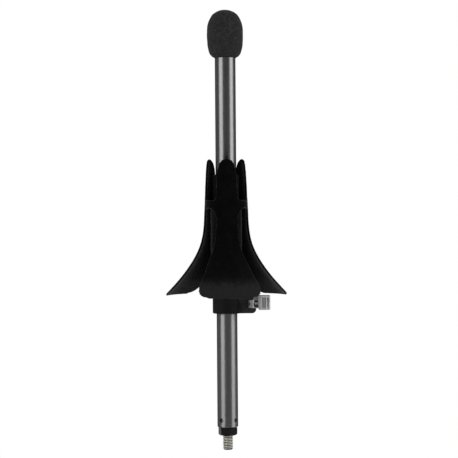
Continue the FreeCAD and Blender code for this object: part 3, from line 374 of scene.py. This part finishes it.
# painted light: the inner sleeve, within 12.8 mm of the axis, is painted a little lighter
tone = p.sum(tone, p.ranged(reach.outputs[0], 0.0134, 0.0128, 0.0, 0.05))
# painted light: the wide flared parts of the petals, 30 to 45.5 mm from the axis, are painted lighter where they face
# up into the light
tone = p.sum(tone, p.ranged(reach.outputs[0], 0.0300, 0.0455, 0.0, 0.16))
# painted light: the inner faces of the fingers in the upper part of the cone are painted a little greyer, standing in
# for the light they catch
facing = p.tree.nodes.new("ShaderNodeVectorMath")
facing.operation = "DOT_PRODUCT"
flat = p.tree.nodes.new("ShaderNodeCombineXYZ")
p.link(split.outputs["X"], flat.inputs["X"])
p.link(split.outputs["Y"], flat.inputs["Y"])
p.link(p.coord.outputs["Normal"], facing.inputs[0])
p.link(flat.outputs[0], facing.inputs[1])
inner_face_light = p.sum(
    p.ranged(facing.outputs["Value"], -0.0020, -0.0080, 0.0, 0.24),
    p.ranged(split.outputs["Z"], 0.168, 0.176, 0.0, 1.0),
    "MULTIPLY",
)
tone = p.sum(tone, inner_face_light)
# painted highlight: the free edges of the moulding are painted lighter, standing in for the light the fibres catch
# there
edge_sheen_attr = p.tree.nodes.new("ShaderNodeAttribute")
edge_sheen_attr.attribute_type = "GEOMETRY"
edge_sheen_attr.attribute_name = "painted_edge_sheen"
tone = p.sum(tone, p.times(edge_sheen_attr.outputs["Fac"], 0.60))
p.base(p.colours(tone, [(0.30, grey(0.0010)), (0.5, grey(0.0022)), (0.66, grey(0.0050)), (0.9, grey(0.016))]))
p.relief(clump, 0.10 * MM, 0.6)
p.relief(nap, 0.12 * MM, 0.8)
mat_flock = p.material

# moulded black nylon of the clamp: spark-eroded texture
p = Paint("black_nylon", Roughness=0.66, Specular_IOR_Level=0.09)
spark = p.noise(3000.0, 3.0, 0.6)
flow = p.noise(120.0, 3.0, 0.5)
# painted shade: the neck inside the cone is painted darker than the collar below, and made rougher
split = p.tree.nodes.new("ShaderNodeSeparateXYZ")
p.link(p.coord.outputs["Object"], split.inputs[0])
neck_in_cone = p.ranged(split.outputs["Z"], 0.125, 0.150, 0.0, 1.0)
# painted light: the ears of the collar are painted lighter
ears = p.sum(p.ranged(split.outputs["X"], 0.0085, 0.0105, 0.0, 0.50), p.ranged(split.outputs["Z"], 0.120, 0.112, 0.0, 1.0), "MULTIPLY")
tone = p.sum(p.sum(p.times(spark, 0.5), p.times(flow, 0.5)), p.times(neck_in_cone, 0.45), "SUBTRACT")
tone = p.sum(tone, ears)
p.base(p.colours(tone, [(0.0, grey(0.0004)), (0.3, grey(0.0030)), (0.7, grey(0.0075)), (1.0, grey(0.032))]))
p.rough(p.sum(p.ranged(flow, 0.3, 0.7, 0.60, 0.74), p.times(neck_in_cone, 0.24)))
p.relief(spark, 0.03 * MM, 0.7)
mat_nylon = p.material

# natural nylon liner
p = Paint("natural_nylon", Roughness=0.45, Subsurface_Weight=0.15)
p.shader.inputs["Subsurface Radius"].default_value = (0.001, 0.0009, 0.0008)
haze = p.noise(300.0, 3.0, 0.6)
p.base(p.colours(haze, [(0.3, (0.60, 0.58, 0.51)), (0.7, (0.70, 0.69, 0.63))]))
p.rough(p.ranged(haze, 0.3, 0.7, 0.38, 0.52))
p.relief(p.noise(1500.0, 2.0, 0.5), 0.01 * MM, 0.5)
mat_liner = p.material

# plug moulding
p = Paint("plug_moulding", Roughness=0.5)
haze = p.noise(500.0, 3.0, 0.6)
p.base(p.colours(haze, [(0.3, grey(0.012)), (0.7, grey(0.020))]))
p.rough(p.ranged(haze, 0.3, 0.7, 0.42, 0.58))
p.relief(p.noise(2200.0, 2.0, 0.5), 0.01 * MM, 0.5)
mat_plug = p.material

# satin die-cast lever
p = Paint("satin_casting", Metallic=0.45, Roughness=0.40)
grain = p.noise(2400.0, 3.0, 0.6)
flow = p.noise(220.0, 3.0, 0.5)
split = p.tree.nodes.new("ShaderNodeSeparateXYZ")
p.link(p.coord.outputs["Object"], split.inputs[0])
lever_at = nodes["cam_lever"].matrix_world
lever_low, lever_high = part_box("cam_lever")
pivot = Vector((18.9 * MM, -8.25 * MM, 101.75 * MM))


def inside(value, low, high, soft):
    """1 between low and high, falling to 0 over a soft border on both sides."""
    rise = p.ranged(value, low - soft, low + soft, 0.0, 1.0)
    fall = p.ranged(value, high + soft, high - soft, 0.0, 1.0)
    return p.sum(rise, fall, "MULTIPLY")


here = lever_at.inverted() @ pivot
# painted shade: the windows and grooves of the lever are painted darker, where shade falls in the recesses
sunk = None
for x0, x1, z0, z1, y0 in (
    (1.45, 5.05, 1.0, 3.0, -0.75),
    (1.45, 5.05, -2.7, -0.3, -0.75),
    (8.05, 8.95, -3.0, 4.9, -1.33),
    (9.60, 10.5, -3.0, 4.9, -1.50),
    (11.85, 12.75, -3.0, 4.9, -1.90),
):
    mask = p.sum(
        inside(split.outputs["X"], here.x + x0 * MM, here.x + x1 * MM, 0.05 * MM),
        inside(split.outputs["Z"], here.z + z0 * MM, here.z + z1 * MM, 0.05 * MM),
        "MULTIPLY",
    )
    mask = p.sum(mask, p.ranged(split.outputs["Y"], here.y + (y0 - 0.12) * MM, here.y + (y0 + 0.06) * MM, 0.0, 1.0), "MULTIPLY")
    sunk = mask if sunk is None else p.sum(sunk, mask)
# painted light: the tab is painted lighter, as a painted highlight on the face that catches the light
tab = p.ranged(split.outputs["X"], here.x + 4.6 * MM, here.x + 5.3 * MM, 0.0, 0.22)
shade = p.sum(
    p.ranged(split.outputs["X"], here.x + 0.2 * MM, here.x - 1.6 * MM, 0.0, 0.34),
    p.sum(
        p.ranged(split.outputs["Z"], here.z + 3.05 * MM, here.z + 3.4 * MM, 0.0, 0.24),
        p.ranged(split.outputs["X"], here.x + 5.2 * MM, here.x + 4.7 * MM, 0.0, 1.0),
        "MULTIPLY",
    ),
)
# painted highlight: the ridges between the grooves are painted lighter
ridge = None
for x0, x1 in ((7.2, 8.0), (8.95, 9.6), (10.55, 11.85), (12.75, 13.7)):
    bar = inside(split.outputs["X"], here.x + x0 * MM, here.x + x1 * MM, 0.08 * MM)
    ridge = bar if ridge is None else p.sum(ridge, bar)
beyond = p.ranged(split.outputs["X"], here.x + 5.0 * MM, here.x + 5.6 * MM, 0.0, 1.0)
# painted highlight: the rounded bead along the top of the tab is painted lighter
bead = p.sum(inside(split.outputs["Z"], here.z + 5.40 * MM, here.z + 6.10 * MM, 0.10 * MM), beyond, "MULTIPLY")
# painted shade: a dark line is painted along the top edge of the tab, just above the bead
lip = p.sum(p.ranged(split.outputs["Z"], here.z + 6.15 * MM, here.z + 6.45 * MM, 0.0, 0.42), beyond, "MULTIPLY")
bright = p.sum(p.sum(p.times(grain, 0.4), p.times(flow, 0.6)), p.times(sunk, 0.72), "SUBTRACT")
bright = p.sum(p.sum(bright, tab), p.times(ridge, 0.36))
bright = p.sum(bright, p.times(bead, 0.24))
bright = p.sum(bright, lip, "SUBTRACT")
bright = p.sum(bright, shade, "SUBTRACT")
p.base(p.colours(bright, [(0.0, grey(0.045)), (0.28, grey(0.20)), (0.5, grey(0.31)), (0.72, grey(0.44)), (0.95, grey(0.66))]))
p.rough(p.ranged(flow, 0.3, 0.7, 0.36, 0.50))
p.relief(grain, 0.012 * MM, 0.6)
mat_lever = p.material

# foam: fine open cells
p = Paint("charcoal_foam", Roughness=1.0, Specular_IOR_Level=0.05, Sheen_Weight=0.04, Sheen_Roughness=0.6)
pore = p.cells(1150.0)
fine = p.noise(2600.0, 3.0, 0.6)
drift = p.noise(430.0, 3.0, 0.6)
tone = p.sum(p.sum(p.times(pore, 0.25), p.times(fine, 0.38)), p.times(drift, 0.45))
p.base(p.colours(tone, [(0.28, grey(0.007)), (0.48, grey(0.016)), (0.70, grey(0.032))]))
p.relief(pore, 0.16 * MM, 0.7)
p.relief(fine, 0.06 * MM, 0.7)
mat_foam = p.material

# pale floor: a plain sheet that lights the object like paper and is seen as plain white
p = Paint("pale_floor", Roughness=0.9, Specular_IOR_Level=0.1)
p.base(p.colours(p.noise(4.0, 2.0, 0.5), [(0.3, grey(0.78)), (0.7, grey(0.80))]))
seen = p.tree.nodes.new("ShaderNodeEmission")
seen.inputs["Color"].default_value = (1.0, 1.0, 1.0, 1.0)
seen.inputs["Strength"].default_value = 1.0
path = p.tree.nodes.new("ShaderNodeLightPath")
blend = p.tree.nodes.new("ShaderNodeMixShader")
p.link(path.outputs["Is Camera Ray"], blend.inputs[0])
p.link(p.shader.outputs[0], blend.inputs[1])
p.link(seen.outputs[0], blend.inputs[2])
p.link(blend.outputs[0], p.tree.nodes["Material Output"].inputs["Surface"])
floor.data.materials.append(p.material)


def dress(node, material):
    for k in range(max(1, len(nodes[node].material_slots))):
        if nodes[node].material_slots:
            nodes[node].material_slots[k].material = material


def soften(node, width, segments=3, angle=28.0):
    """Breaks the sharp edges of a CAD part in the picture only."""
    weld = nodes[node].modifiers.new("weld", "WELD")
    weld.merge_threshold = 0.003 * MM
    edge = nodes[node].modifiers.new("edge", "BEVEL")
    edge.width = width
    edge.segments = segments
    edge.limit_method = "ANGLE"
    edge.angle_limit = math.radians(angle)
    edge.use_clamp_overlap = True
    edge.harden_normals = False


soften("cam_lever", 0.22 * MM)
soften("clamp_carrier", 0.35 * MM)

dress("post_tube", mat_post)
dress("tube_top_plug", mat_plug)
dress("threaded_insert", mat_zinc)
dress("threaded_stud", mat_zinc)
dress("hex_lock_nut", mat_gloss)
dress("clamp_carrier", mat_nylon)
dress("split_liner", mat_liner)
dress("retaining_ring", mat_gloss)
dress("cam_lever", mat_lever)
dress("lever_pivot_pin", mat_dull)
dress("tension_bolt", mat_dull)
dress("cam_washer", mat_dull)
dress("tension_nut", mat_dull)
dress("petal_cone", mat_flock)
dress("foam_tip", mat_foam)

# ---------------------------------------------------------------------------
# Pieces made here
# ---------------------------------------------------------------------------


def new_object(name, bm, material, smooth=True):
    mesh = bpy.data.meshes.new(name)
    bm.normal_update()
    bm.to_mesh(mesh)
    bm.free()
    mesh.materials.append(material)
    if smooth:
        mesh.polygons.foreach_set("use_smooth", [True] * len(mesh.polygons))
    obj = bpy.data.objects.new(name, mesh)
    scene.collection.objects.link(obj)
    return obj


def curve_through(points, count):
    """Even samples along a Catmull-Rom curve through the points."""
    dense = []
    pts = [points[0]] + list(points) + [points[-1]]
    for k in range(1, len(pts) - 2):
        p0, p1, p2, p3 = (np.array(pts[k + d], float) for d in (-1, 0, 1, 2))
        for t in np.linspace(0, 1, 24, endpoint=False):
            dense.append(
                0.5
                * (
                    2 * p1
                    + (p2 - p0) * t
                    + (2 * p0 - 5 * p1 + 4 * p2 - p3) * t * t
                    + (3 * p1 - p0 - 3 * p2 + p3) * t**3
                )
            )
    dense.append(np.array(points[-1], float))
    dense = np.array(dense)
    step = np.r_[0, np.cumsum(np.linalg.norm(np.diff(dense, axis=0), axis=1))]
    at = np.linspace(0, step[-1], count)
    return np.stack([np.interp(at, step, dense[:, k]) for k in range(2)], axis=1)


# --- foam cap: a closed skin with the bore it is pushed on by, its cells cut into the surface ---

foam_low, foam_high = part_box("foam_tip")
tube_r = (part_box("post_tube")[1].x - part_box("post_tube")[0].x) / 2
foam_r = (foam_high.x - foam_low.x) / 2
foam_z = foam_low.z
foam_h = foam_high.z - foam_low.z
# radius as a share of the largest, height as a share of the whole
FORM = [
    (0.612, 0.0000),
    (0.655, 0.0122),
    (0.752, 0.0378),
    (0.860, 0.0892),
    (0.914, 0.1514),
    (0.955, 0.2135),
    (0.976, 0.2757),
    (0.991, 0.3378),
    (1.003, 0.4649),
    (0.995, 0.5892),
    (0.974, 0.6514),
    (0.940, 0.7162),
    (0.882, 0.7784),
    (0.799, 0.8405),
    (0.680, 0.9027),
    (0.500, 0.9514),
    (0.290, 0.9865),
    (0.130, 0.9982),
    (0.000, 1.0000),
]
AROUND = 300
outer = curve_through([(r * foam_r, foam_z + h * foam_h) for r, h in FORM], 190)
bore_r = tube_r + 0.05 * MM
bore_top = foam_z + 22.0 * MM
bm = bmesh.new()
loops = []


def foam_push(point, normal):
    """Small relief of the foam skin: lumps, drawn-in cells and fine grain."""
    lump = noise.noise(point * 130.0) * 0.16 * MM + noise.noise(point * 320.0) * 0.07 * MM
    cell = noise.voronoi(point * 1050.0)[0]
    pit = (cell[1] - cell[0]) - 0.35
    grain = noise.noise(point * 2300.0)
    return lump + (min(pit, 0.35)) * 0.16 * MM + grain * 0.05 * MM + 0.02 * MM


tangents = np.gradient(outer, axis=0)
for k, (r, z) in enumerate(outer):
    if k == len(outer) - 1:
        break
    tr, tz = tangents[k] / np.linalg.norm(tangents[k])
    ring = []
    for i in range(AROUND):
        a = 2 * math.pi * (i + 0.5 * (k % 2)) / AROUND
        n = Vector((tz * math.cos(a), tz * math.sin(a), -tr))
        q = Vector((r * math.cos(a), r * math.sin(a), z))
        fade = min(1.0, k / 6.0)
        ring.append(bm.verts.new(q + n * foam_push(q, n) * fade))
    loops.append(ring)
crown = bm.verts.new((0, 0, outer[-1][1] - 0.05 * MM))
inner_ring = [
    bm.verts.new((bore_r * math.cos(2 * math.pi * i / AROUND), bore_r * math.sin(2 * math.pi * i / AROUND), foam_z + 0.15 * MM))
    for i in range(AROUND)
]
inner_top = [
    bm.verts.new((bore_r * math.cos(2 * math.pi * i / AROUND), bore_r * math.sin(2 * math.pi * i / AROUND), bore_top))
    for i in range(AROUND)
]
roof = bm.verts.new((0, 0, bore_top))


def bridge(one, two):
    for i in range(AROUND):
        j = (i + 1) % AROUND
        bm.faces.new((one[i], one[j], two[j], two[i]))


for one, two in zip(loops, loops[1:]):
    bridge(one, two)
for i in range(AROUND):
    bm.faces.new((loops[-1][i], loops[-1][(i + 1) % AROUND], crown))
bridge(inner_ring, loops[0])
bridge(inner_top, inner_ring)
for i in range(AROUND):
    bm.faces.new((inner_top[(i + 1) % AROUND], inner_top[i], roof))
bmesh.ops.recalc_face_normals(bm, faces=bm.faces)
foam_cap = new_object("foam_cap", bm, mat_foam)
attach(foam_cap, "post")
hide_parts("foam_tip")

# --- flocked cone: the moulding's own form under a coat of fibres that rounds every edge ---

source = nodes["petal_cone"]
bm = bmesh.new()
bm.from_mesh(source.data)
bmesh.ops.remove_doubles(bm, verts=bm.verts, dist=0.004 * MM)
flocked = new_object("flocked_cone", bm, mat_flock)
remesh = flocked.modifiers.new("coat", "REMESH")
remesh.mode = "VOXEL"
remesh.voxel_size = 0.50 * MM
remesh.adaptivity = 0.0
remesh.use_smooth_shade = True
depsgraph = bpy.context.evaluated_depsgraph_get()
coated = bpy.data.meshes.new_from_object(flocked.evaluated_get(depsgraph), depsgraph=depsgraph)
flocked.modifiers.clear()
flocked.data = coated


def relax(mesh, rounds, share):
    """Moves each point towards the middle of its neighbours, a few times over, without shrinking the form."""
    count = len(mesh.vertices)
    co = np.zeros(count * 3)
    mesh.vertices.foreach_get("co", co)
    co = co.reshape(-1, 3)
    edges = np.zeros(len(mesh.edges) * 2, int)
    mesh.edges.foreach_get("vertices", edges)
    a, b = edges.reshape(-1, 2).T
    degree = np.bincount(a, minlength=count) + np.bincount(b, minlength=count)
    for k in range(rounds):
        for factor in (share, -share * 1.02):
            total = np.zeros_like(co)
            for axis in range(3):
                total[:, axis] = np.bincount(a, co[b, axis], count) + np.bincount(b, co[a, axis], count)
            co = co + factor * (total / degree[:, None] - co)
    mesh.vertices.foreach_set("co", co.ravel())
    mesh.update()
    return co


relax(coated, 4, 0.6)

# the front petal is set a touch to one side of true, as moulded springs are
co = np.zeros(len(coated.vertices) * 3)
coated.vertices.foreach_get("co", co)
co = co.reshape(-1, 3)
reach = np.hypot(co[:, 0], co[:, 1])
turned = np.degrees(np.arctan2(co[:, 0], -co[:, 1]))
share = np.clip((0.158 - co[:, 2]) / 0.045, 0.0, 1.0)
share = share * share * (3 - 2 * share) * np.clip((reach - 0.0165) / 0.008, 0.0, 1.0) * (np.abs(turned) < 52.0)
lean = np.clip((turned + 34.0) / 68.0, 0.0, 1.0)
swing = np.radians(0.5 + 1.9 * lean) * share
# and the edges along the slit on its left close up a little half way down
waist = np.exp(-(((co[:, 2] - 0.1365) / 0.0085) ** 2)) * np.clip((reach - 0.0155) / 0.003, 0.0, 1.0)
swing -= np.radians(1.6) * waist * np.clip((-turned - 8.0) / 20.0, 0.0, 1.0) * (turned > -56.0)
swing += np.radians(1.8) * waist * np.clip((turned + 108.0) / 20.0, 0.0, 1.0) * (turned <= -56.0)
side_x = co[:, 0] * np.cos(swing) - co[:, 1] * np.sin(swing)
side_y = co[:, 0] * np.sin(swing) + co[:, 1] * np.cos(swing)
co[:, 0], co[:, 1] = side_x, side_y
coated.vertices.foreach_set("co", co.ravel())
coated.update()
normals = np.zeros(len(coated.vertices) * 3)
coated.vertices.foreach_get("normal", normals)
normals = normals.reshape(-1, 3)
co = np.zeros(len(coated.vertices) * 3)
coated.vertices.foreach_get("co", co)
co = co.reshape(-1, 3)
push = np.array(
    [
        noise.noise(Vector(q) * 420.0) * 0.05 * MM + noise.noise(Vector(q) * 1300.0) * 0.035 * MM
        for q in co
    ]
)

# how much each point stands out from its surroundings: the moulding's free edges, which the flock material paints
# lighter as a painted highlight along every edge
edges = np.zeros(len(coated.edges) * 2, int)
coated.edges.foreach_get("vertices", edges)
ea, eb = edges.reshape(-1, 2).T
degree = np.bincount(ea, minlength=len(co)) + np.bincount(eb, minlength=len(co))
around = co.copy()
for k in range(3):
    total = np.stack(
        [np.bincount(ea, around[eb, axis], len(co)) + np.bincount(eb, around[ea, axis], len(co)) for axis in range(3)],
        axis=1,
    )
    around = 0.4 * around + 0.6 * total / degree[:, None]
stand = ((co - around) * normals).sum(axis=1)
edge_sheen_amount = np.clip((stand - 0.035 * MM) / (0.09 * MM), 0.0, 1.0)
layer = coated.attributes.new("painted_edge_sheen", "FLOAT", "POINT")
layer.data.foreach_set("value", edge_sheen_amount.astype(np.float32))
co = co + normals * push[:, None]
coated.vertices.foreach_set("co", co.ravel())
coated.polygons.foreach_set("use_smooth", [True] * len(coated.polygons))
coated.update()
coated.materials.clear()
coated.materials.append(mat_flock)
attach(flocked, "carriage")
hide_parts("petal_cone")

# --- threaded foot: a true helix with a chamfered point ---

stud_low, stud_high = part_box("threaded_stud")
lead = 1.25 * MM
major = (stud_high.x - stud_low.x) / 2
minor = major - 0.767 * MM
SIDES, STEPS = 96, 16
z_low = stud_low.z
z_cut = 0.3 * MM
bm = bmesh.new()
rows = int((z_cut - z_low) / lead * STEPS) + 3 * STEPS
grid = []
for k in range(rows):
    part = (k % STEPS) / STEPS
    d = min(part, 1 - part)
    depth = min(max((d - 0.13) / (0.46 - 0.13), 0.0), 1.0)
    depth = depth * depth * (3 - 2 * depth) * 0.25 + depth * 0.75
    ring = []
    for i in range(SIDES):
        z = z_low - 1.5 * lead + lead * (k / STEPS + i / SIDES)
        r = major - (major - minor) * depth
        r = min(r, major - 0.95 * MM + max(z - z_low, -0.2 * MM) * 1.0)
        a = 2 * math.pi * i / SIDES
        ring.append(bm.verts.new((r * math.cos(a), r * math.sin(a), z)))
    grid.append(ring)
for k in range(rows - 1):
    for i in range(SIDES - 1):
        bm.faces.new((grid[k][i], grid[k][i + 1], grid[k + 1][i + 1], grid[k + 1][i]))
    if k + STEPS + 1 < rows:
        bm.faces.new((grid[k][SIDES - 1], grid[k + STEPS][0], grid[k + STEPS + 1][0], grid[k + 1][SIDES - 1]))


def cut(bm, z, keep_above):
    """Cuts the thread square to its axis and closes it with a fan."""
    geom = list(bm.verts) + list(bm.edges) + list(bm.faces)
    done = bmesh.ops.bisect_plane(
        bm, geom=geom, dist=1e-9, plane_co=(0, 0, z), plane_no=(0, 0, 1),
        clear_inner=keep_above, clear_outer=not keep_above,
    )
    loop = [e for e in bm.edges if e.is_boundary and all(abs(v.co.z - z) < 1e-7 for v in e.verts)]
    hub = bm.verts.new((0, 0, z))
    for e in loop:
        bm.faces.new((e.verts[0], e.verts[1], hub))
    return done


cut(bm, z_low, True)
cut(bm, z_cut, False)
loose = [v for v in bm.verts if not v.link_faces]
bmesh.ops.delete(bm, geom=loose, context="VERTS")
# plain shank inside the nut and the insert
shank_r = 3.58 * MM
shank = bmesh.ops.create_cone(
    bm, cap_ends=True, cap_tris=True, segments=64, radius1=shank_r, radius2=shank_r, depth=stud_high.z - z_cut,
)
bmesh.ops.translate(bm, verts=shank["verts"], vec=(0, 0, (stud_high.z + z_cut) / 2))
bmesh.ops.recalc_face_normals(bm, faces=bm.faces)
thread = new_object("helical_stud", bm, mat_thread, smooth=False)
for poly in thread.data.polygons:
    poly.use_smooth = abs(poly.normal.z) < 0.97
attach(thread, "post")
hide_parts("threaded_stud")
